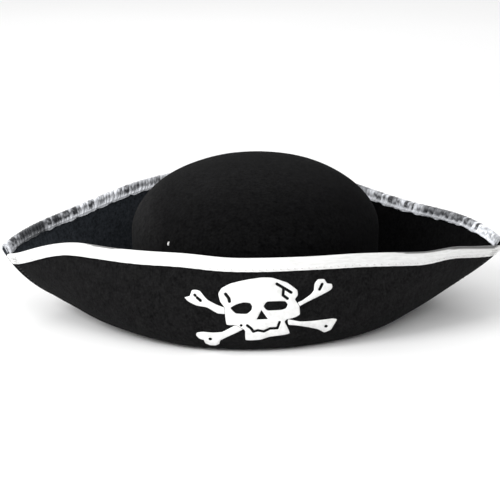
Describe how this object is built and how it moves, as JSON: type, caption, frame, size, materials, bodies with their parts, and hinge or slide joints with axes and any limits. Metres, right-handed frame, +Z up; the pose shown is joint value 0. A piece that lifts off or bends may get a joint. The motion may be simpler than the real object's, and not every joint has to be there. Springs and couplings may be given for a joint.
{
  "type": "pirate hat",
  "caption": "Black felt pirate hat with a domed crown, upturned front and back flaps meeting in two pointed tips, ribbon-bound edges and a printed skull with crossed bones.",
  "frame": {"origin": "middle of the hat's base, level with the lower edge of the crown, under the middle of the crown's oval", "axes": "+Z up, front flap with the print towards -Y, the wearer's left and the viewer's right towards +X, the two tips along X"},
  "size_m": [0.358, 0.2272, 0.112],
  "materials": {
    "black_felt": "matt moulded wool-look felt",
    "white_satin": "white satin ribbon with a soft sheen",
    "silver_satin": "silver-white satin ribbon, puckered across its width",
    "white_thread": "white sewing thread",
    "black_thread": "black sewing thread",
    "black_band": "black twill band",
    "white_label": "plain white woven label",
    "white_print": "matt white screen-printed film"
  },
  "bodies": {
    "hat": {"crown": "black_felt", "front_flap": "black_felt", "back_flap": "black_felt", "front_ribbon": "white_satin", "back_ribbon": "silver_satin", "front_ribbon_stitches": "white_thread", "back_ribbon_stitches": "white_thread", "headline_seam": "black_thread", "left_side_seam": "black_thread", "right_side_seam": "black_thread", "left_tip_tack": "white_thread", "right_tip_tack": "white_thread", "sweatband": "black_band", "sweatband_join": "black_band", "sweatband_stitches": "black_thread", "label_tack": "white_thread", "skull_print": "white_print", "upper_left_bone_print": "white_print", "upper_right_bone_print": "white_print", "lower_left_bone_print": "white_print", "lower_right_bone_print": "white_print"},
    "label": {"care_label": "white_label"}
  },
  "joints": [
    {"name": "label_swing", "type": "hinge", "parent": "hat", "child": "label", "pos_m": [-0.05538, -0.06816, 0.066], "axis": [0.6858, -0.7278, 0], "range_deg": [-6, 110]}
  ]
}
